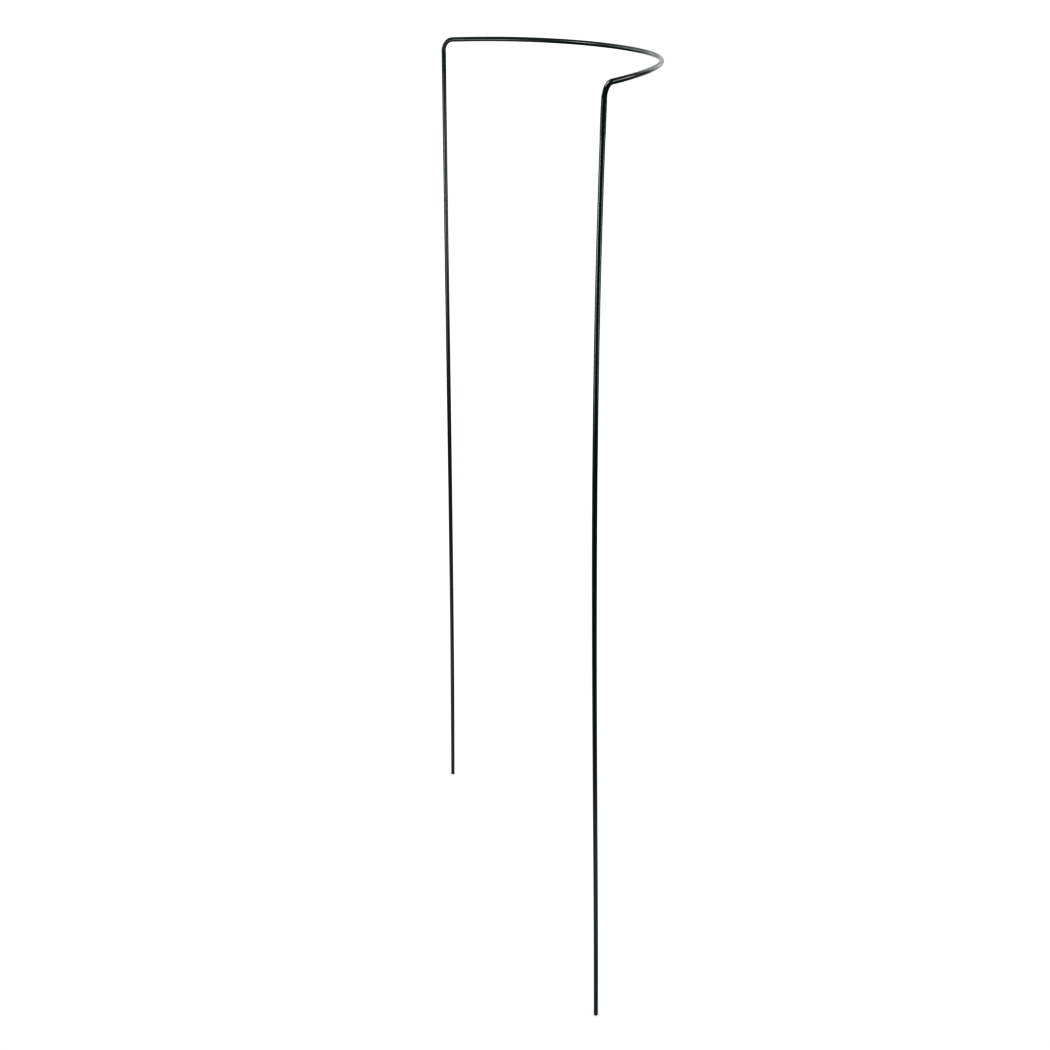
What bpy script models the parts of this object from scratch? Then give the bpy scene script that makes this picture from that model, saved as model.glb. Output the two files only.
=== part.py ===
"""Shrub support: one plastic-coated steel wire, bent to a hoop with a shallow bow on two long legs.

Metres, +Z up. The origin lies midway between the two leg tips, on their level. The legs stand
side by side along X, and the bow swings forward, towards +Y, at the top.
"""

import math

import bpy
from mathutils import Vector

# Overall sizes
LEG_HEIGHT = 0.8915
LEG_SPACING = 0.430
BOW_DEPTH = 0.1153
BEND_RADIUS = 0.0103

# The bow rises out of its bends at this angle, and its crown sags this far below that slope.
BOW_RISE = math.radians(3.0)
BOW_SAG = 0.00285

# The wire, from its centre outwards
CORE_DIAMETER = 0.0025
BOND_GAP = 0.0003
COATING_WALL = 0.00045
CUT_EDGE_ROUNDING = 0.00015

# The set that bending leaves in the legs: how far a tip stands forward of its bend, and how far
# the leg stands forward of its own straight line a third and two thirds of the way down.
LEFT_TIP_SET = -0.0153
LEFT_LEG_BOW = (0.0003, 0.0026)
RIGHT_TIP_SET = 0.0154
RIGHT_LEG_BOW = (-0.0105, -0.0016)

# Facets
STEPS_PER_SEGMENT = 22
ROUNDNESS = 6
ROUNDING_STEPS = 2
SHARP_EDGE = math.radians(60)

COATING_GREEN = (0.015, 0.020, 0.016, 1.0)
STEEL_GREY = (0.42, 0.42, 0.41, 1.0)


def arc_handle(turn, radius):
    """Length of the Bezier handles that draw an arc of this angle and radius."""
    return 4 / 3 * math.tan(turn / 4) * radius


def half_path(side, tip_set, leg_bow):
    """Bezier segments of one half of the wire, from its leg's tip to the middle of the bow."""
    forward = Vector((0, math.cos(BOW_RISE), math.sin(BOW_RISE)))
    outward = Vector((side, 0, 0))
    top = Vector((0, 0, LEG_HEIGHT))
    corner = top + outward * LEG_SPACING / 2
    tip = outward * LEG_SPACING / 2 + Vector((0, tip_set, 0))

    # A leg leaves its bend and reaches its tip on slopes that its bow sets.
    leg_top_way = (tip - corner + Vector((0, 3 * leg_bow[0], 0))).normalized()
    leg_tip_way = (tip - corner - Vector((0, 3 * leg_bow[1], 0))).normalized()

    # The bow is an arc that runs through the leg plane on its way into each bend.
    bow_angle = 2 * math.atan(BOW_DEPTH / (LEG_SPACING / 2 + BEND_RADIUS))
    bow_end_way = outward * math.cos(bow_angle) - forward * math.sin(bow_angle)
    turn = bow_end_way.angle(leg_top_way)
    reach = BEND_RADIUS * math.tan(turn / 2)
    bow_end = corner - bow_end_way * reach
    leg_top = corner + leg_top_way * reach
    bow_radius = abs(bow_end.x) / math.sin(bow_angle)
    bow_middle = top + forward * BOW_DEPTH - Vector((0, 0, BOW_SAG))

    third = (tip - leg_top).length / 3
    bend_handle = arc_handle(turn, BEND_RADIUS)
    bow_handle = arc_handle(bow_angle, bow_radius)
    return [
        (tip, tip - leg_tip_way * third, leg_top + leg_top_way * third, leg_top),
        (leg_top, leg_top - leg_top_way * bend_handle, bow_end + bow_end_way * bend_handle, bow_end),
        (bow_end, bow_end - bow_end_way * bow_handle, bow_middle + outward * bow_handle, bow_middle),
    ]


def wire_path():
    """Bezier segments of the whole centreline, from the left tip to the right tip."""
    left = half_path(-1, LEFT_TIP_SET, LEFT_LEG_BOW)
    right = half_path(1, RIGHT_TIP_SET, RIGHT_LEG_BOW)
    return left + [segment[::-1] for segment in reversed(right)]


def add_material(name, colour, metallic, roughness):
    """A Principled material of one plain colour."""
    material = bpy.data.materials.new(name)
    material.use_nodes = True
    surface = material.node_tree.nodes["Principled BSDF"]
    surface.inputs["Base Color"].default_value = colour
    surface.inputs["Metallic"].default_value = metallic
    surface.inputs["Roughness"].default_value = roughness
    material.diffuse_color = colour
    return material


def add_round_bar(name, segments, radius, capped, material):
    """A round bar along the Bezier segments, as a curve object."""
    curve = bpy.data.curves.new(name, "CURVE")
    curve.dimensions = "3D"
    curve.resolution_u = STEPS_PER_SEGMENT
    curve.bevel_depth = radius
    curve.bevel_resolution = ROUNDNESS
    curve.use_fill_caps = capped
    spline = curve.splines.new("BEZIER")
    spline.bezier_points.add(len(segments))
    for knot in spline.bezier_points:
        knot.handle_left_type = "FREE"
        knot.handle_right_type = "FREE"
    for index, (start, leaving, arriving, end) in enumerate(segments):
        first = spline.bezier_points[index]
        second = spline.bezier_points[index + 1]
        first.co = start
        first.handle_right = leaving
        second.handle_left = arriving
        second.co = end
    first_knot = spline.bezier_points[0]
    last_knot = spline.bezier_points[-1]
    first_knot.handle_left = 2 * first_knot.co - first_knot.handle_right
    last_knot.handle_right = 2 * last_knot.co - last_knot.handle_left
    bar = bpy.data.objects.new(name, curve)
    curve.materials.append(material)
    bpy.context.scene.collection.objects.link(bar)
    return bar


def add_steel_core(segments):
    """The drawn steel wire, sheared square at both tips."""
    steel = add_material("drawn_steel", STEEL_GREY, metallic=1.0, roughness=0.38)
    return add_round_bar("steel_core", segments, CORE_DIAMETER / 2, True, steel)


def add_plastic_coating(segments):
    """The plastic sheath: a tube round the steel, open at both cut ends, with eased rims."""
    green = add_material("green_plastic", COATING_GREEN, metallic=0.0, roughness=0.2)
    outer_radius = CORE_DIAMETER / 2 + BOND_GAP + COATING_WALL
    sheath = add_round_bar("plastic_coating", segments, outer_radius, False, green)
    wall = sheath.modifiers.new("wall", "SOLIDIFY")
    wall.thickness = COATING_WALL
    wall.offset = -1
    wall.use_rim = True
    rims = sheath.modifiers.new("eased_rims", "BEVEL")
    rims.width = CUT_EDGE_ROUNDING
    rims.segments = ROUNDING_STEPS
    rims.limit_method = "ANGLE"
    rims.angle_limit = SHARP_EDGE
    return sheath


def main():
    for leftover in list(bpy.data.objects):
        bpy.data.objects.remove(leftover)
    segments = wire_path()
    add_steel_core(segments)
    add_plastic_coating(segments)


main()
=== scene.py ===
"""Looks of the shrub support: one plastic-coated steel wire, bent to a hoop, on a pale studio floor.

Metres, +Z up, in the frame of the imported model. The wire is made the way that the real one is: a
straight steel bar, a straight plastic sheath drawn over it, and then both bent along one route.
"""

import logging
import math
from bisect import bisect_right
from dataclasses import dataclass, field
from enum import Enum

import bmesh
import bpy
from mathutils import Matrix, Vector, noise


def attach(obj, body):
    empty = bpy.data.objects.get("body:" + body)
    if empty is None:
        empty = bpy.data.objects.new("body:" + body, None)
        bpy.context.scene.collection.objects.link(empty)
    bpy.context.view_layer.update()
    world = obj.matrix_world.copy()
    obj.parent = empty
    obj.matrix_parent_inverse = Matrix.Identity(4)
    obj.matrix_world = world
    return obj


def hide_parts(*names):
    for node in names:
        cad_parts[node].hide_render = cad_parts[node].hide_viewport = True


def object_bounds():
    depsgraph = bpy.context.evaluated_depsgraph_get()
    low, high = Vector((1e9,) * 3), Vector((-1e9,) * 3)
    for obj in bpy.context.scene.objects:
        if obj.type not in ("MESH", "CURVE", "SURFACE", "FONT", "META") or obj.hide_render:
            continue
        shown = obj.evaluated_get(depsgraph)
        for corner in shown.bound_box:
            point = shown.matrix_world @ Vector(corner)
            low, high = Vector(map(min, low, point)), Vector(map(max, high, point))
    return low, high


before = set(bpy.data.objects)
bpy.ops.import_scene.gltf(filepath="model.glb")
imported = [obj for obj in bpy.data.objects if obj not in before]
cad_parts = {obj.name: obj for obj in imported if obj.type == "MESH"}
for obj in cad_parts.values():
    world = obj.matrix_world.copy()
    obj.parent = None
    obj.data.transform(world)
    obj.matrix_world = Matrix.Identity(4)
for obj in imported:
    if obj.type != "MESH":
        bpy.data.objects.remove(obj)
CAD_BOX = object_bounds()

LOG = logging.getLogger("shrub_support")
BODY = "root"
MM = 0.001

# A Mix node numbers the sockets of all its kinds. These are the colour ones.
MIX_COLOURS = (6, 7)
MIX_RESULT = 2

Colour = tuple[float, float, float]
Edges = list[bmesh.types.BMEdge]

# The two values between which a smooth step rises from 0 to 1
Rise = tuple[float, float]


class Side(Enum):
    """The two legs, by the sign of their place along X."""

    LEFT = -1
    RIGHT = 1


class Sum(Enum):
    """The sums of a Math node that this file uses."""

    ADD = "ADD"
    SUBTRACT = "SUBTRACT"
    MULTIPLY = "MULTIPLY"


# Shader maths


class Value:
    """A socket that carries a number. Python's operators on it add Math nodes to its graph."""

    def __init__(self, graph: "Graph", socket: bpy.types.NodeSocket) -> None:
        """Wrap a socket.

        Args:
            graph: the node tree that the socket belongs to.
            socket: an output socket of one of its nodes.
        """
        self.graph = graph
        self.socket = socket

    def _sum(self, kind: Sum, first: "Value | float", second: "Value | float") -> "Value":
        """Add one Math node.

        Args:
            kind: the sum that it does.
            first: its upper operand.
            second: its lower operand.

        Returns:
            Its result.
        """
        made = self.graph.node("ShaderNodeMath", {"operation": kind.value}, {0: first, 1: second})
        return Value(self.graph, made.outputs[0])

    def __add__(self, other: "Value | float") -> "Value":
        """Return self + other."""
        return self._sum(Sum.ADD, self, other)

    def __radd__(self, other: float) -> "Value":
        """Return other + self."""
        return self._sum(Sum.ADD, other, self)

    def __sub__(self, other: "Value | float") -> "Value":
        """Return self - other."""
        return self._sum(Sum.SUBTRACT, self, other)

    def __rsub__(self, other: float) -> "Value":
        """Return other - self."""
        return self._sum(Sum.SUBTRACT, other, self)

    def __mul__(self, other: "Value | float") -> "Value":
        """Return self * other."""
        return self._sum(Sum.MULTIPLY, self, other)

    def __rmul__(self, other: float) -> "Value":
        """Return other * self."""
        return self._sum(Sum.MULTIPLY, other, self)

    def between(self, low: float, high: float) -> "Value":
        """Rise smoothly from 0 to 1.

        Args:
            low: the value at which the rise starts.
            high: the value at which it ends.

        Returns:
            The smooth step.
        """
        settings = {"interpolation_type": "SMOOTHSTEP"}
        sockets = {"Value": self, "From Min": low, "From Max": high}
        step = self.graph.node("ShaderNodeMapRange", settings, sockets)
        return Value(self.graph, step.outputs["Result"])


@dataclass(frozen=True)
class Pattern:
    """Soft random blotches.

    The fields say how many blotches there are to a metre, how many finer layers lie on them, how strong
    those layers are, and how much longer than wide the blotches are.
    """

    scale: float
    detail: float
    roughness: float = 0.5
    length: float = 1.0


class Graph:
    """The node tree of a material, a world or a lamp, emptied and built anew."""

    def __init__(self, owner: bpy.types.ID) -> None:
        """Empty the owner's node tree.

        Args:
            owner: the material, world or lamp that uses the tree.
        """
        owner.use_nodes = True
        self.tree = owner.node_tree
        self.tree.nodes.clear()

    def node(
        self, kind: str, settings: dict[str, object], sockets: dict[str | int, object]
    ) -> bpy.types.Node:
        """Add any node.

        Args:
            kind: its type, such as ShaderNodeTexNoise.
            settings: its own properties, set first.
            sockets: by name or number, a Value, a socket to link from, or a plain value.

        Returns:
            The node.
        """
        made = self.tree.nodes.new(kind)
        for name, setting in settings.items():
            setattr(made, name, setting)
        for name, given in sockets.items():
            source = given.socket if isinstance(given, Value) else given
            if isinstance(source, bpy.types.NodeSocket):
                self.tree.links.new(source, made.inputs[name])
            else:
                made.inputs[name].default_value = source
        return made

    def attribute(self, name: str) -> Value:
        """Read a number that the mesh carries at each vertex."""
        made = self.node("ShaderNodeAttribute", {"attribute_name": name}, {})
        return Value(self, made.outputs["Fac"])

    def straight(self, length: float) -> bpy.types.NodeSocket:
        """Read where each point lay on the straight wire.

        Args:
            length: how much longer than wide the pattern that reads it becomes.

        Returns:
            The place, with its Z squeezed that much.
        """
        place = self.node("ShaderNodeAttribute", {"attribute_name": "straight"}, {})
        sockets = {0: place.outputs["Vector"], 1: (1.0, 1.0, 1.0 / length)}
        return self.node("ShaderNodeVectorMath", {"operation": "MULTIPLY"}, sockets).outputs["Vector"]

    def noise(self, pattern: Pattern, place: bpy.types.NodeSocket) -> Value:
        """Lay a pattern anywhere.

        Args:
            pattern: the blotches.
            place: where they are read.

        Returns:
            A value that varies about 0.5.
        """
        sockets = {
            "Vector": place,
            "Scale": pattern.scale,
            "Detail": pattern.detail,
            "Roughness": pattern.roughness,
        }
        return Value(self, self.node("ShaderNodeTexNoise", {}, sockets).outputs["Fac"])

    def on_wire(self, pattern: Pattern) -> Value:
        """Lay a pattern on the straight wire, so that it follows the bends."""
        return self.noise(pattern, self.straight(pattern.length))

    def mixed(
        self, share: Value, first: Colour | bpy.types.NodeSocket, second: Colour | bpy.types.NodeSocket
    ) -> bpy.types.NodeSocket:
        """Mix two colours.

        Args:
            share: how much of the second shows.
            first: a colour, or a socket that carries one.
            second: likewise.

        Returns:
            The mixed colour.
        """
        sockets = {0: share}
        for number, colour in zip(MIX_COLOURS, (first, second)):
            sockets[number] = (*colour, 1.0) if isinstance(colour, tuple) else colour
        return self.node("ShaderNodeMix", {"data_type": "RGBA"}, sockets).outputs[MIX_RESULT]

    def bump(self, height: Value, depth: float) -> bpy.types.NodeSocket:
        """Make fine relief.

        Args:
            height: the relief, from 0 to about 1.
            depth: how high 1 stands, in metres.

        Returns:
            The turned normal.
        """
        sockets = {"Strength": 1.0, "Distance": depth, "Height": height}
        return self.node("ShaderNodeBump", {}, sockets).outputs["Normal"]

    def finish(self, shader: bpy.types.Node, output: str = "ShaderNodeOutputMaterial") -> None:
        """Send a shader node to the tree's output."""
        self.node(output, {}, {"Surface": shader.outputs[0]})


# Finishes


@dataclass(frozen=True)
class GreenPlastic:
    """The glossy, very dark green plastic that the wire is drawn through."""

    deep: Colour = (0.0245, 0.0440, 0.0300)
    pale: Colour = (0.0315, 0.0560, 0.0380)
    strained: Colour = (0.0450, 0.0660, 0.0500)
    dust: Colour = (0.1000, 0.1050, 0.0900)
    gloss: float = 0.085
    dull: float = 0.30
    refraction: float = 1.50

    streaks: Pattern = Pattern(900.0, detail=3.0, length=30.0)
    clouds: Pattern = Pattern(45.0, detail=4.0)
    specks: Pattern = Pattern(2600.0, detail=1.0)
    peel: Pattern = Pattern(700.0, detail=1.5)
    streak_rise: Rise = (0.35, 0.70)
    strain_rise: Rise = (0.35, 0.65)
    haze_rise: Rise = (0.30, 0.75)
    speck_rise: Rise = (0.70, 0.78)
    scuff_rise: Rise = (0.36, 0.60)

    strain_paleness: float = 0.6
    speck_dust: float = 0.08
    cut_dust: float = 0.4
    haze_dullness: float = 0.10
    strain_dullness: float = 0.35
    scuff_dullness: float = 1.4
    cut_dullness: float = 0.6
    peel_height: float = 0.6
    streak_height: float = 0.4
    scuff_height: float = 2.0
    relief: float = 0.0008 * MM

    def material(self) -> bpy.types.Material:
        """Make the material.

        Returns:
            A material that reads the attributes straight, bend, grip and cut of its piece.
        """
        made = bpy.data.materials.new("green_plastic_finish")
        graph = Graph(made)
        bend, grip, cut = (graph.attribute(name) for name in ("bend", "grip", "cut"))
        patterns = (self.streaks, self.clouds, self.specks, self.peel)
        streaks, clouds, specks, peel = (graph.on_wire(pattern) for pattern in patterns)
        scuffs = grip * peel.between(*self.scuff_rise)

        strain = bend * clouds.between(*self.strain_rise) * self.strain_paleness
        dust = specks.between(*self.speck_rise) * self.speck_dust + cut * clouds * self.cut_dust
        colour = graph.mixed(streaks.between(*self.streak_rise), self.deep, self.pale)
        colour = graph.mixed(strain, colour, self.strained)
        colour = graph.mixed(dust, colour, self.dust)

        haze = clouds.between(*self.haze_rise) * self.haze_dullness
        strain_haze = bend * streaks * self.strain_dullness
        dullness = haze + strain_haze + scuffs * self.scuff_dullness + cut * self.cut_dullness
        height = peel * self.peel_height + streaks * self.streak_height + scuffs * self.scuff_height
        plastic = {
            "Base Color": colour,
            "Roughness": self.gloss + dullness * (self.dull - self.gloss),
            "IOR": self.refraction,
            "Normal": graph.bump(height, self.relief),
        }
        graph.finish(graph.node("ShaderNodeBsdfPrincipled", {}, plastic))
        return made


@dataclass(frozen=True)
class DrawnSteel:
    """The bare steel of the wire, drawn lengthwise and sheared at its tips."""

    bright: Colour = (0.46, 0.46, 0.45)
    grey: Colour = (0.27, 0.27, 0.27)
    rust: Colour = (0.16, 0.075, 0.035)
    smooth: float = 0.26
    torn: float = 0.55

    lines: Pattern = Pattern(4200.0, detail=3.0, roughness=0.65, length=60.0)
    grain: Pattern = Pattern(3200.0, detail=4.0, roughness=0.7)
    tarnish: Pattern = Pattern(1400.0, detail=3.0)
    line_rise: Rise = (0.3, 0.7)
    tarnish_rise: Rise = (0.52, 0.72)

    line_tearing: float = 0.35
    cut_tearing: float = 0.9
    rust_colour: float = 0.7
    rust_cover: float = 0.6
    grain_height: float = 2.0
    relief: float = 0.006 * MM

    def material(self) -> bpy.types.Material:
        """Make the material.

        Returns:
            A material that reads the attributes straight and cut of its piece.
        """
        made = bpy.data.materials.new("drawn_steel_finish")
        graph = Graph(made)
        cut = graph.attribute("cut")
        patterns = (self.lines, self.grain, self.tarnish)
        lines, grain, tarnish = (graph.on_wire(pattern) for pattern in patterns)
        rusty = cut * tarnish.between(*self.tarnish_rise)

        colour = graph.mixed(lines.between(*self.line_rise), self.grey, self.bright)
        torn = lines * self.line_tearing + cut * grain * self.cut_tearing
        height = lines * (1.0 - cut) + grain * cut * self.grain_height
        steel = {
            "Base Color": graph.mixed(rusty * self.rust_colour, colour, self.rust),
            "Roughness": self.smooth + torn * (self.torn - self.smooth),
            "Metallic": 1.0 - rusty * self.rust_cover,
            "Normal": graph.bump(height, self.relief),
        }
        graph.finish(graph.node("ShaderNodeBsdfPrincipled", {}, steel))
        return made


@dataclass(frozen=True)
class StudioPaper:
    """The plain white paper of the studio floor, which is lit from below as well as from above."""

    white: Colour = (0.270, 0.270, 0.270)
    shade: Colour = (0.255, 0.255, 0.255)
    glow: float = 0.72
    fibres: Pattern = Pattern(60.0, detail=4.0)

    def material(self) -> bpy.types.Material:
        """Make the material.

        Returns:
            A material that reads Object coordinates.
        """
        made = bpy.data.materials.new("studio_paper")
        graph = Graph(made)
        place = graph.node("ShaderNodeTexCoord", {}, {}).outputs["Object"]
        colour = graph.mixed(graph.noise(self.fibres, place), self.shade, self.white)
        paper = graph.node("ShaderNodeBsdfDiffuse", {}, {"Color": colour})
        light = graph.node("ShaderNodeEmission", {}, {"Strength": self.glow})
        graph.finish(graph.node("ShaderNodeAddShader", {}, {0: paper.outputs[0], 1: light.outputs[0]}))
        return made


# The wire's route


def arc_handle(turn: float, radius: float) -> float:
    """Return the length of the Bezier handles that draw an arc of this angle and radius."""
    return 4 / 3 * math.tan(turn / 4) * radius


@dataclass(frozen=True)
class Rings:
    """How closely the rings of the wire's mesh stand over a share of one stretch."""

    share: float
    gap: float


@dataclass(frozen=True)
class Stretch:
    """One Bezier segment of the wire's centreline, and how finely it is drawn."""

    start: Vector
    leaving: Vector
    arriving: Vector
    end: Vector
    rings: tuple[Rings, ...]
    inward: Vector | None = None

    def place(self, share: float) -> Vector:
        """Find a point of the segment.

        Args:
            share: from 0 at the start to 1 at the end.

        Returns:
            The point.
        """
        rest = 1 - share
        ends = self.start * rest**3 + self.end * share**3
        return ends + (self.leaving * rest + self.arriving * share) * (3 * rest * share)

    def way(self, share: float) -> Vector:
        """Find the direction of the segment at a point.

        Args:
            share: from 0 at the start to 1 at the end.

        Returns:
            A vector of length 1.
        """
        rest = 1 - share
        first = (self.leaving - self.start) * rest**2
        middle = (self.arriving - self.leaving) * (2 * rest * share)
        last = (self.end - self.arriving) * share**2
        return (first + middle + last).normalized()

    def reversed(self) -> "Stretch":
        """Return the same segment, run the other way."""
        rings = tuple(reversed(self.rings))
        return Stretch(self.end, self.arriving, self.leaving, self.start, rings, self.inward)


@dataclass
class Spine:
    """The frames of the wire along its centreline, each turned from the last without twist."""

    along: list[float] = field(default_factory=list)
    places: list[Vector] = field(default_factory=list)
    turns: list[Matrix] = field(default_factory=list)

    def add(self, place: Vector, way: Vector) -> None:
        """Carry the spine on to a new place.

        Args:
            place: the next point of the centreline.
            way: the centreline's direction there.
        """
        if not self.places:
            turn = Vector((0, 0, 1)).rotation_difference(way).to_matrix()
            self.along.append(0.0)
        else:
            last = self.turns[-1]
            turn = (last @ Vector((0, 0, 1))).rotation_difference(way).to_matrix() @ last
            self.along.append(self.along[-1] + (place - self.places[-1]).length)
        self.places.append(place)
        self.turns.append(turn)

    @property
    def length(self) -> float:
        """The wire's length in metres."""
        return self.along[-1]

    def bent(self, straight: Vector) -> Vector:
        """Carry a point of the straight wire to where bending puts it.

        Args:
            straight: the point, with Z as its distance along the wire.

        Returns:
            The same point on the finished hoop.
        """
        index = min(max(bisect_right(self.along, straight.z) - 1, 0), len(self.along) - 2)
        low, high = self.along[index], self.along[index + 1]
        across = Vector((straight.x, straight.y, 0))
        first = self.places[index] + self.turns[index] @ across
        second = self.places[index + 1] + self.turns[index + 1] @ across
        return first.lerp(second, (straight.z - low) / (high - low))


@dataclass(frozen=True)
class Bend:
    """A tight bend's place on the straight wire, and the sides that the bending tools pressed."""

    start: float
    end: float
    inward: Vector
    jaw: Vector
    leg_after: bool

    def into_leg(self, along: float) -> float:
        """Say how far a place lies past the bend on its leg's side. On the bow's side it is negative."""
        return along - self.end if self.leg_after else self.start - along


@dataclass
class HoopRoute:
    """The centreline of the hoop: two long legs, two tight bends and a shallow bow.

    jaw_turn says how far outwards from the Y axis the jaws that held each leg are turned.
    """

    leg_height: float = 0.8915
    leg_spacing: float = 0.430
    bow_depth: float = 0.1153
    bow_rise: float = math.radians(3.0)
    bow_sag: float = 0.00285
    bend_radius: float = 0.0103
    tip_set: dict[Side, float] = field(default_factory=lambda: {Side.LEFT: -0.0153, Side.RIGHT: 0.0154})
    leg_bow: dict[Side, tuple[float, float]] = field(
        default_factory=lambda: {Side.LEFT: (0.0003, 0.0026), Side.RIGHT: (-0.0105, -0.0016)}
    )
    jaw_turn: float = math.radians(62.0)
    leg_rings: tuple[Rings, ...] = (Rings(0.955, 4.0 * MM), Rings(0.045, 0.8 * MM))
    bend_rings: tuple[Rings, ...] = (Rings(1.0, 0.5 * MM),)
    bow_rings: tuple[Rings, ...] = (Rings(0.12, 0.8 * MM), Rings(0.88, 2.0 * MM))
    frames_per_ring: int = 2

    def __post_init__(self) -> None:
        """Work out the spine, the rings of each section and the bends."""
        left, right = self._half(Side.LEFT), self._half(Side.RIGHT)
        self.spine = Spine()
        self.sections: list[tuple[float, int]] = []
        self.bends: list[Bend] = []
        for stretch in left + [stretch.reversed() for stretch in reversed(right)]:
            self._follow(stretch)

    def _half(self, side: Side) -> list[Stretch]:
        """Draw one half of the centreline, from its leg's tip to the middle of the bow.

        Args:
            side: the leg that it holds.

        Returns:
            The leg, the bend and half of the bow.
        """
        forward = Vector((0, math.cos(self.bow_rise), math.sin(self.bow_rise)))
        outward = Vector((side.value, 0, 0))
        top = Vector((0, 0, self.leg_height))
        corner = top + outward * self.leg_spacing / 2
        tip = outward * self.leg_spacing / 2 + Vector((0, self.tip_set[side], 0))
        upper_bow, lower_bow = self.leg_bow[side]
        top_way = (tip - corner + Vector((0, 3 * upper_bow, 0))).normalized()
        tip_way = (tip - corner - Vector((0, 3 * lower_bow, 0))).normalized()

        bow_angle = 2 * math.atan(self.bow_depth / (self.leg_spacing / 2 + self.bend_radius))
        bow_way = outward * math.cos(bow_angle) - forward * math.sin(bow_angle)
        turn = bow_way.angle(top_way)
        reach = self.bend_radius * math.tan(turn / 2)
        bow_end = corner - bow_way * reach
        leg_top = corner + top_way * reach
        bow_radius = abs(bow_end.x) / math.sin(bow_angle)
        middle = top + forward * self.bow_depth - Vector((0, 0, self.bow_sag))

        third = (tip - leg_top).length / 3
        bend_handle = arc_handle(turn, self.bend_radius)
        bow_handle = arc_handle(bow_angle, bow_radius)
        return [
            Stretch(tip, tip - tip_way * third, leg_top + top_way * third, leg_top, self.leg_rings),
            Stretch(
                leg_top,
                leg_top - top_way * bend_handle,
                bow_end + bow_way * bend_handle,
                bow_end,
                self.bend_rings,
                (top_way - bow_way).normalized(),
            ),
            Stretch(
                bow_end,
                bow_end - bow_way * bow_handle,
                middle + outward * bow_handle,
                middle,
                self.bow_rings,
            ),
        ]

    def _follow(self, stretch: Stretch) -> None:
        """Carry the spine along a stretch, and note its rings and its bend.

        Args:
            stretch: the next stretch of the wire.
        """
        chord = (stretch.end - stretch.start).length
        frames = self.frames_per_ring * round(chord / min(rings.gap for rings in stretch.rings))
        start = self.spine.length if self.spine.places else 0.0
        for step in range(1 if self.spine.places else 0, frames + 1):
            share = step / frames
            self.spine.add(stretch.place(share), stretch.way(share))
        length = self.spine.length - start
        for rings in stretch.rings:
            self.sections.append((length * rings.share, round(length * rings.share / rings.gap)))
        if stretch.inward:
            self._note_bend(stretch, start, frames)

    def _note_bend(self, stretch: Stretch, start: float, frames: int) -> None:
        """Note a bend, with the sides that its tools pressed as they lay on the straight wire.

        Args:
            stretch: the bend's stretch, which the spine has just followed.
            start: where it starts along the wire.
            frames: how many frames of the spine it took.
        """
        leg_after = bool(self.bends)
        outward = math.copysign(math.sin(self.jaw_turn), stretch.start.x)
        jaw = Vector((outward, -math.cos(self.jaw_turn), 0))
        middle_turn = self.spine.turns[-frames // 2]
        leg_turn = self.spine.turns[-1 if leg_after else -frames - 1]
        inward, gripped = self._lying(middle_turn, stretch.inward), self._lying(leg_turn, jaw)
        self.bends.append(Bend(start, self.spine.length, inward, gripped, leg_after))

    @staticmethod
    def _lying(turn: Matrix, side: Vector) -> Vector:
        """Find the side of the straight wire that faces a given way once the wire is bent.

        Args:
            turn: how bending turns the wire there.
            side: the way that it then faces.

        Returns:
            A vector of length 1 across the straight wire.
        """
        lying = turn.inverted() @ side
        return Vector((lying.x, lying.y, 0)).normalized()


# The pieces


@dataclass(frozen=True)
class StraightTube:
    """A round tube or bar that is drawn straight along Z in a bmesh."""

    radius: float
    sides: int = 40

    def draw(
        self, bm: bmesh.types.BMesh, sections: list[tuple[float, int]], thinning: int = 1
    ) -> tuple[Edges, Edges]:
        """Draw the tube's wall.

        Args:
            bm: the mesh that it is added to.
            sections: the length and the number of rings of each section, in order.
            thinning: only one in this many rings is drawn.

        Returns:
            The edges of its first ring and of its last ring.
        """
        circle = bmesh.ops.create_circle(bm, segments=self.sides, radius=self.radius)
        first = list(dict.fromkeys(edge for vert in circle["verts"] for edge in vert.link_edges))
        last = first
        for length, rings in sections:
            grown = bmesh.ops.extrude_edge_only(bm, edges=last)["geom"]
            verts = [item for item in grown if isinstance(item, bmesh.types.BMVert)]
            last = [item for item in grown if isinstance(item, bmesh.types.BMEdge)]
            start = verts[0].co.z
            bmesh.ops.translate(bm, verts=verts, vec=(0, 0, length))
            lengthwise = [edge for vert in verts for edge in vert.link_edges if edge not in last]
            gaps = max(1, rings // thinning)
            inner = bmesh.ops.subdivide_edges(bm, edges=lengthwise, cuts=gaps - 1)["geom_inner"]
            # Repeated cuts let the rings drift by a hair, and not alike in each run.
            gap = length / gaps
            for vert in (item for item in inner if isinstance(item, bmesh.types.BMVert)):
                vert.co.z = start + gap * round((vert.co.z - start) / gap)
        return first, last


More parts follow.
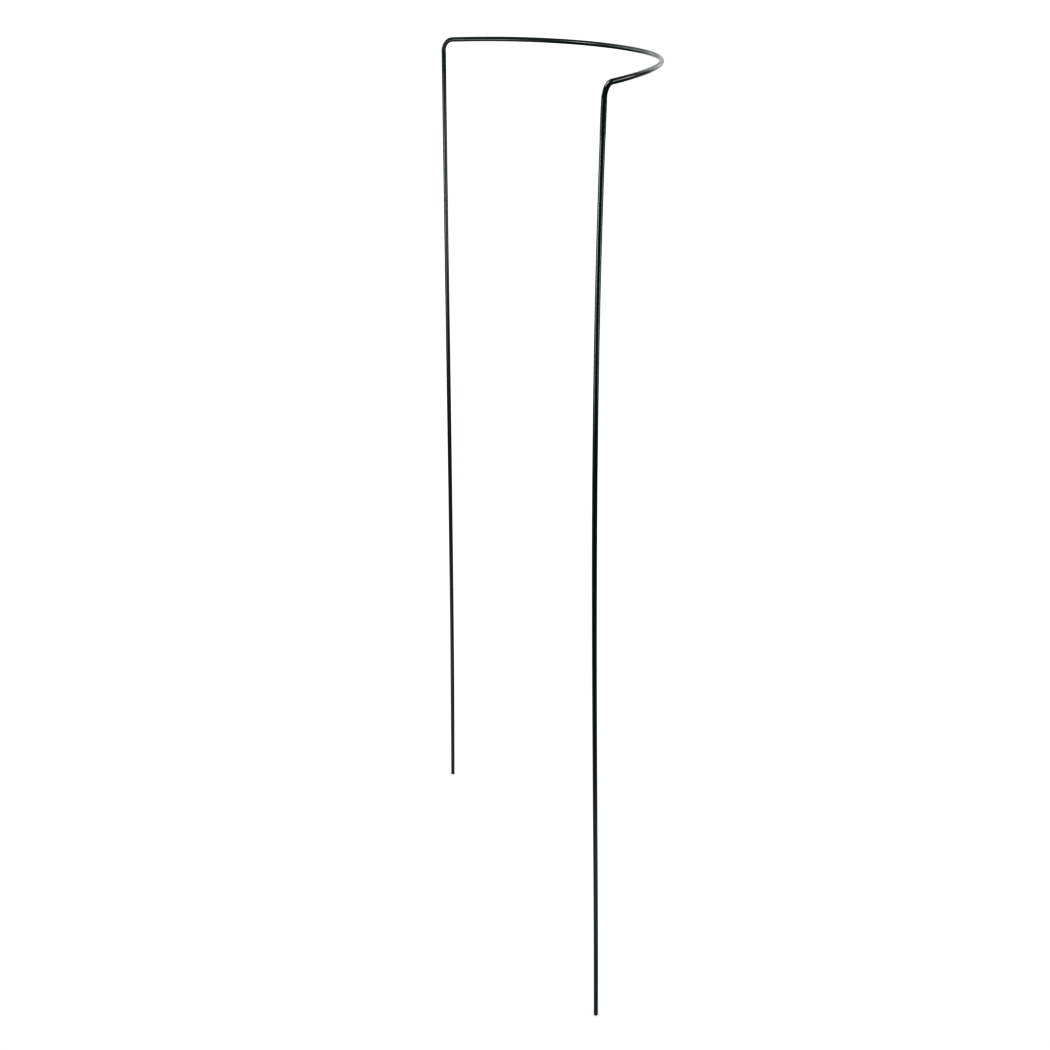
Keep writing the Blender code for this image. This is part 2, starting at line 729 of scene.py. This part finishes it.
@dataclass(frozen=True)
class PatternSheet:
    """Lays the skin of the straight wire flat on a unit square, cut in rows that lie side by side.

    The rows keep the pattern's width and length in the same scale, so a picture of it stays sharp.
    """

    length: float
    radius: float
    bore: float
    rows: int
    outer_band: tuple[float, float]
    bore_band: tuple[float, float] = (0.0, 1.0)
    overrun: float = 5.0 * MM
    axis_share: float = 0.01

    def lay(self, bm: bmesh.types.BMesh) -> None:
        """Give each face its place on the sheet.

        Args:
            bm: the straight part.
        """
        sheet = bm.loops.layers.uv.new("OFBake")
        for face in bm.faces:
            middle = face.calc_center_median()
            widest = max(vert.co.xy.length for vert in face.verts)
            inside = widest < (self.radius + self.bore) / 2
            for loop in face.loops:
                loop[sheet].uv = self._spot(loop.vert.co, middle, inside)

    def _spot(self, place: Vector, middle: Vector, inside: bool) -> tuple[float, float]:
        """Find a corner's place on the sheet.

        Args:
            place: the corner on the straight wire.
            middle: the middle of its face.
            inside: whether the face lies in the bore.

        Returns:
            Its place, from 0 to 1 each way.
        """
        row_length = self.length / self.rows
        row = min(max(int(middle.z / row_length), 0), self.rows - 1)
        past_tip = 0.0 if inside else self.radius - place.xy.length
        path = place.z + math.copysign(past_tip, place.z - self.length / 2)
        low, high = self.bore_band if inside else self.outer_band
        turned = math.atan2(middle.y, middle.x)
        if place.xy.length > self.radius * self.axis_share:
            turned -= middle.xy.angle_signed(place.xy)
        share = turned / math.tau + 0.5
        across = (row + low + (high - low) * share) / self.rows
        return (path - row * row_length + self.overrun) / (row_length + 2 * self.overrun), across


@dataclass
class WirePart:
    """What the steel and its sheath share: they are drawn straight and bent along the route."""

    route: HoopRoute
    cut_reach: float = 1.6 * MM
    strain_reach: float = 9.0 * MM
    grip_length: float = 28.0 * MM
    crease_angle: float = math.radians(40)

    def _bent_piece(self, name: str, bm: bmesh.types.BMesh) -> bpy.types.Object:
        """Bend a straight part along the route and make it an object.

        Args:
            name: the piece's name.
            bm: the straight part, which is used up.

        Returns:
            The finished piece, which keeps its straight places in attributes.
        """
        self._put_in_order(bm)
        straight = bm.verts.layers.float_vector.new("straight")
        bend, grip, cut = (bm.verts.layers.float.new(name) for name in ("bend", "grip", "cut"))
        for vert in bm.verts:
            along = vert.co.z
            from_tip = min(along, self.route.spine.length - along)
            vert[straight] = vert.co
            vert[bend] = max(self._strain(one, along) for one in self.route.bends)
            vert[grip] = max(self._gripped(one, along) for one in self.route.bends)
            vert[cut] = max(0.0, 1 - from_tip / self.cut_reach)
            vert.co = self.route.spine.bent(vert.co + self._dent(vert.co))
        bmesh.ops.recalc_face_normals(bm, faces=bm.faces[:])
        mesh = bpy.data.meshes.new(name)
        bm.to_mesh(mesh)
        bm.free()
        mesh.shade_smooth()
        mesh.set_sharp_from_angle(angle=self.crease_angle)
        piece = bpy.data.objects.new(name, mesh)
        bpy.context.scene.collection.objects.link(piece)
        return piece

    @staticmethod
    def _put_in_order(bm: bmesh.types.BMesh) -> None:
        """Number the corners and faces along the wire, since the operators leave them in no set order.

        Args:
            bm: the straight part.
        """
        corners = sorted(bm.verts, key=lambda vert: tuple(vert.co.zyx))
        faces = sorted(bm.faces, key=lambda face: tuple(face.calc_center_median().zyx))
        for ordered, parts in ((corners, bm.verts), (faces, bm.faces)):
            for number, part in enumerate(ordered):
                part.index = number
            parts.sort()

    def _strain(self, bend: Bend, along: float) -> float:
        """Say how much a bend has strained the wire.

        Args:
            bend: the bend.
            along: the place along the wire.

        Returns:
            1 inside the bend, falling to 0 beside it.
        """
        gap = max(bend.start - along, along - bend.end, 0)
        share = max(0.0, 1 - gap / self.strain_reach)
        return share * share * (3 - 2 * share)

    def _gripped(self, bend: Bend, along: float) -> float:
        """Say how hard the jaws held the wire while it was bent.

        Args:
            bend: the bend.
            along: the place along the wire.

        Returns:
            1 in the middle of the jaws, and 0 at their ends.
        """
        half = self.grip_length / 2
        return max(0.0, 1 - ((bend.into_leg(along) - half) / half) ** 2)

    def _dent(self, straight: Vector) -> Vector:
        """Say how far the surface lies from a perfect round bar. A plain part has no dents."""
        return Vector()


@dataclass
class SteelCore(WirePart):
    """The drawn steel wire inside the sheath, sheared at both tips."""

    diameter: float = 2.5 * MM
    thinning: int = 2
    burr: float = 0.03 * MM
    shear_inset: float = 0.12 * MM
    pattern_rows: int = 16
    pattern_band: tuple[float, float] = (0.04, 0.96)

    def build(self) -> bpy.types.Object:
        """Make the piece.

        Returns:
            The steel core.
        """
        bm = bmesh.new()
        radius = self.diameter / 2
        for ring in StraightTube(radius).draw(bm, self.route.sections, self.thinning):
            cap = bmesh.ops.contextual_create(bm, geom=ring)["faces"]
            bmesh.ops.inset_region(
                bm, faces=cap, thickness=self.shear_inset, depth=-self.burr, use_boundary=True
            )
            bmesh.ops.inset_region(bm, faces=cap, thickness=self.shear_inset, use_boundary=True)
            bmesh.ops.poke(bm, faces=cap)
        no_bore = 0.0
        length = self.route.spine.length
        PatternSheet(length, radius, no_bore, self.pattern_rows, self.pattern_band).lay(bm)
        piece = self._bent_piece("steel_core_wire", bm)
        piece.data.materials.append(DrawnSteel().material())
        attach(piece, BODY)
        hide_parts("steel_core")
        return piece


@dataclass
class PlasticCoating(WirePart):
    """The plastic sheath, drawn over the steel and marked a little by the bending."""

    diameter: float = 4.0 * MM
    bore: float = 2.52 * MM
    bore_thinning: int = 2
    rim_rounding: float = 0.20 * MM
    rim_steps: int = 4
    ripple: float = 0.006 * MM
    ripple_length: float = 14.0 * MM
    ripples_across: float = 0.8
    pin_mark: float = 0.11 * MM
    pin_reach: float = 1.15
    pin_narrowness: int = 4
    grip_mark: float = 0.13 * MM
    grip_bulge: float = 0.17 * MM
    grip_onset: float = 2.0
    least_facing: float = 0.5
    mottle: float = 0.11 * MM
    mottle_length: float = 2.8 * MM
    pattern_rows: int = 12
    outer_band: tuple[float, float] = (0.02, 0.80)
    bore_band: tuple[float, float] = (0.84, 0.98)

    def build(self) -> bpy.types.Object:
        """Make the piece.

        Returns:
            The plastic coating.
        """
        bm = bmesh.new()
        sections, length = self.route.sections, self.route.spine.length
        radius, bore = self.diameter / 2, self.bore / 2
        outer_ends = StraightTube(radius).draw(bm, sections)
        bore_ends = StraightTube(bore).draw(bm, sections, self.bore_thinning)
        for outer, inner in zip(outer_ends, bore_ends):
            bmesh.ops.bridge_loops(bm, edges=outer + inner)
        bmesh.ops.bevel(
            bm,
            geom=outer_ends[0] + outer_ends[1],
            offset=self.rim_rounding,
            segments=self.rim_steps,
            profile=0.5,
            affect="EDGES",
            material=-1,
            clamp_overlap=True,
        )
        PatternSheet(length, radius, bore, self.pattern_rows, self.outer_band, self.bore_band).lay(bm)
        piece = self._bent_piece("plastic_coating_sheath", bm)
        piece.data.materials.append(GreenPlastic().material())
        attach(piece, BODY)
        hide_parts("plastic_coating")
        return piece

    def _dent(self, straight: Vector) -> Vector:
        """Say how far the sheath's outer surface lies from a perfect round bar.

        Args:
            straight: a point of the straight sheath.

        Returns:
            The move towards the middle of the wire.
        """
        outward = Vector((straight.x, straight.y, 0))
        if outward.length < (self.diameter + self.bore) / 4:
            return Vector()
        outward.normalize()
        along = Vector((0, 0, straight.z / self.ripple_length))
        waves = noise.noise(outward * self.ripples_across + along)
        depth = self.ripple * (1 + waves)
        for bend in self.route.bends:
            depth += self._bend_marks(bend, outward, straight.z)
        return outward * -depth

    def _bend_marks(self, bend: Bend, outward: Vector, along: float) -> float:
        """Say how deep the bending tools have marked the sheath.

        Args:
            bend: the bend.
            outward: the direction of the point from the middle of the straight wire.
            along: the point's place along the wire.

        Returns:
            The depth of the pin's mark inside the bend and of the jaws' mottled flats on the leg, less
            the height of the swelling between the flats.
        """
        middle, half = (bend.start + bend.end) / 2, (bend.end - bend.start) / 2
        pressed = max(0.0, 1 - ((along - middle) / (half * self.pin_reach)) ** 2)
        pin = self.pin_mark * pressed * max(0.0, outward.dot(bend.inward)) ** self.pin_narrowness
        gripped = self._gripped(bend, along)
        if not gripped:
            return pin
        held = min(1.0, gripped * self.grip_onset)
        radius, facing = self.diameter / 2, abs(outward.dot(bend.jaw))
        flat = max(0.0, radius - (radius - self.grip_mark * held) / max(facing, self.least_facing))
        bulge = self.grip_bulge * held * (1 - facing**2)
        place = (outward * radius + Vector((0, 0, along))) / self.mottle_length
        mottle = self.mottle * held * (1 + noise.noise(place)) / 2
        return pin + flat - bulge + mottle


# The studio


@dataclass(frozen=True)
class Softbox:
    """A soft lamp that the camera doesn't see. It stands and faces its aim, or lies and faces up.

    Its glow fades out over its rim, so that its mirror image on the gloss has no hard end.
    """

    name: str
    place: tuple[float, float, float]
    width: float
    height: float
    radiance: float
    lying: bool = False
    rim: float = 0.24
    aim: tuple[float, float, float] = (0.0, 0.0, 0.6)

    def build(self) -> None:
        """Set up the lamp."""
        lamp = bpy.data.lights.new(self.name, "AREA")
        lamp.shape = "RECTANGLE"
        lamp.size = self.width + self.rim
        lamp.size_y = self.height + self.rim
        lamp.energy = self.radiance * math.pi * lamp.size * lamp.size_y
        self._fade(lamp)
        stand = bpy.data.objects.new(self.name, lamp)
        stand.location = self.place
        way = Vector(self.aim) - Vector(self.place)
        stand.rotation_euler = (math.pi, 0, 0) if self.lying else way.to_track_quat("-Z", "Y").to_euler()
        stand.visible_camera = False
        stand.visible_diffuse = False
        bpy.context.scene.collection.objects.link(stand)

    def _fade(self, lamp: bpy.types.AreaLight) -> None:
        """Let the glow of the lamp fade out over its rim.

        Args:
            lamp: the lamp, with its size set.
        """
        graph = Graph(lamp)
        spot = graph.node("ShaderNodeNewGeometry", {}, {}).outputs["Parametric"]
        across = graph.node("ShaderNodeSeparateXYZ", {}, {0: spot}).outputs
        glow = 1.0
        for way, size in ((across[0], lamp.size), (across[1], lamp.size_y)):
            share, edge = Value(graph, way), self.rim / size
            glow = glow * share.between(0.0, edge) * (1.0 - share).between(0.0, edge)
        light = graph.node("ShaderNodeEmission", {}, {"Strength": glow})
        graph.finish(light, "ShaderNodeOutputLight")


@dataclass
class Studio:
    """The pale floor, the soft light and the camera."""

    sky_strength: float = 1.18
    print_gamma: float = 0.5
    floor_size: float = 60.0
    floor_squares: int = 4
    camera_place: tuple[float, float, float] = (1.057194, -0.340404, 0.983875)
    camera_azimuth: float = math.radians(71.5335)
    camera_drop: float = math.radians(25.5278)
    camera_roll: float = math.radians(-0.1125)
    lens: float = 42.24189
    sensor: float = 36.0
    nearest_seen: float = 0.05

    # Each lamp's name, place, width, height and radiance. The three panels stand between the legs and
    # face the far one. The foot's panel reaches below the floor, which the gloss doesn't mirror.
    softboxes: tuple[Softbox, ...] = (
        Softbox("right_softbox", (0.99, 1.04, 0.45), 0.75, 0.45, 11.0),
        Softbox("left_softbox", (0.22, -0.97, 0.53), 0.70, 0.56, 9.8),
        Softbox("left_strip", (0.03, -0.71, 0.65), 0.57, 0.18, 6.4),
        Softbox("back_screen", (-0.87, 0.19, 0.95), 2.35, 0.90, 1.09),
        Softbox("low_back_glow", (-0.51, 0.70, 0.55), 1.21, 0.22, 0.95, aim=(0.17, 0.44, 0.6)),
        Softbox("high_back_glow", (-1.62, -0.08, 1.10), 0.62, 0.39, 1.15),
        Softbox("top_strip", (-0.13, -0.17, 1.26), 0.28, 2.65, 1.35),
        Softbox("side_softbox", (-0.04, 1.81, 1.25), 0.74, 0.85, 4.9),
        Softbox("far_left_softbox", (-0.86, -1.06, 1.15), 2.14, 0.66, 1.9),
        Softbox("far_right_softbox", (-0.37, 0.74, 1.06), 0.50, 0.55, 0.8),
        Softbox("high_left_softbox", (-0.72, -0.92, 1.23), 0.27, 0.57, 9.6),
        Softbox("overhead_softbox", (-0.01, -0.13, 1.82), 0.67, 0.83, 11.3),
        Softbox("far_leg_panel", (0.16, -0.06, 0.54), 0.62, 0.56, 1.6, aim=(0.0, 0.0, 0.54)),
        Softbox("far_streak_panel", (0.06, -0.20, 0.64), 0.14, 0.16, 3.0, aim=(-0.215, 0.0, 0.64)),
        Softbox("far_foot_panel", (0.16, -0.06, -0.08), 0.70, 0.24, 1.6, aim=(0.0, 0.0, -0.08)),
        Softbox("far_floor_glow", (-0.35, -0.66, 0.0), 0.52, 0.85, 2.3, lying=True),
        Softbox("near_floor_glow", (0.36, 0.53, 0.0001), 0.67, 0.64, 1.1, lying=True),
        Softbox("near_foot_glow", (0.39, -0.02, 0.0002), 0.28, 0.52, 1.95, lying=True),
        Softbox("floor_glow", (-0.06, -0.26, 0.0003), 0.48, 0.68, 1.5, lying=True),
    )

    def build(self) -> None:
        """Set up the floor, the sky, the lamps and the camera."""
        self._lay_floor()
        self._light_sky()
        for softbox in self.softboxes:
            softbox.build()
        self._place_camera()

    def _lay_floor(self) -> None:
        """Lay the floor at the leg tips. The gloss of the wire mirrors the lamps and not the floor."""
        bm = bmesh.new()
        under = Matrix.Translation((0, 0, CAD_BOX[0][2]))
        squares, half = self.floor_squares, self.floor_size / 2
        bmesh.ops.create_grid(bm, x_segments=squares, y_segments=squares, size=half, matrix=under)
        mesh = bpy.data.meshes.new("studio_floor")
        bm.to_mesh(mesh)
        bm.free()
        mesh.materials.append(StudioPaper().material())
        floor = bpy.data.objects.new("studio_floor", mesh)
        floor.visible_glossy = False
        bpy.context.scene.collection.objects.link(floor)

    def _light_sky(self) -> None:
        """Surround the studio with even white light, which the wire's gloss doesn't mirror."""
        world = bpy.data.worlds.new("studio_sky")
        graph = Graph(world)
        white = {"Color": (1.0, 1.0, 1.0, 1.0), "Strength": self.sky_strength}
        graph.finish(graph.node("ShaderNodeBackground", {}, white), "ShaderNodeOutputWorld")
        scene = bpy.context.scene
        scene.world = world
        world.cycles_visibility.glossy = False
        scene.view_settings.view_transform = "Standard"
        scene.view_settings.gamma = self.print_gamma

    def _place_camera(self) -> None:
        """Put the camera where the photograph was taken from."""
        lens = bpy.data.cameras.new("camera")
        lens.lens = self.lens
        lens.sensor_width = self.sensor
        lens.clip_start = self.nearest_seen
        camera = bpy.data.objects.new("camera", lens)
        tilt = Matrix.Rotation(math.pi / 2 - self.camera_drop, 4, "X")
        heading = Matrix.Rotation(self.camera_azimuth, 4, "Z")
        roll = Matrix.Rotation(self.camera_roll, 4, "Z")
        camera.matrix_world = Matrix.Translation(self.camera_place) @ heading @ tilt @ roll
        bpy.context.scene.collection.objects.link(camera)
        bpy.context.scene.camera = camera


def report(piece: bpy.types.Object) -> None:
    """Log a piece's name, its triangles and its box.

    Args:
        piece: a finished piece.
    """
    piece.data.calc_loop_triangles()
    corners = [Vector(corner) for corner in piece.bound_box]
    low = [min(corner[axis] for corner in corners) for axis in range(3)]
    high = [max(corner[axis] for corner in corners) for axis in range(3)]
    LOG.info(
        "%s: %d triangles, from %s to %s",
        piece.name,
        len(piece.data.loop_triangles),
        [round(number, 5) for number in low],
        [round(number, 5) for number in high],
    )


def main() -> None:
    """Build the wire and the studio in order."""
    logging.basicConfig(level=logging.INFO, format="%(message)s")
    route = HoopRoute()
    LOG.info("route: %.4f m of wire in %d sections", route.spine.length, len(route.sections))
    report(SteelCore(route).build())
    report(PlasticCoating(route).build())
    Studio().build()


if __name__ == "__main__":
    main()
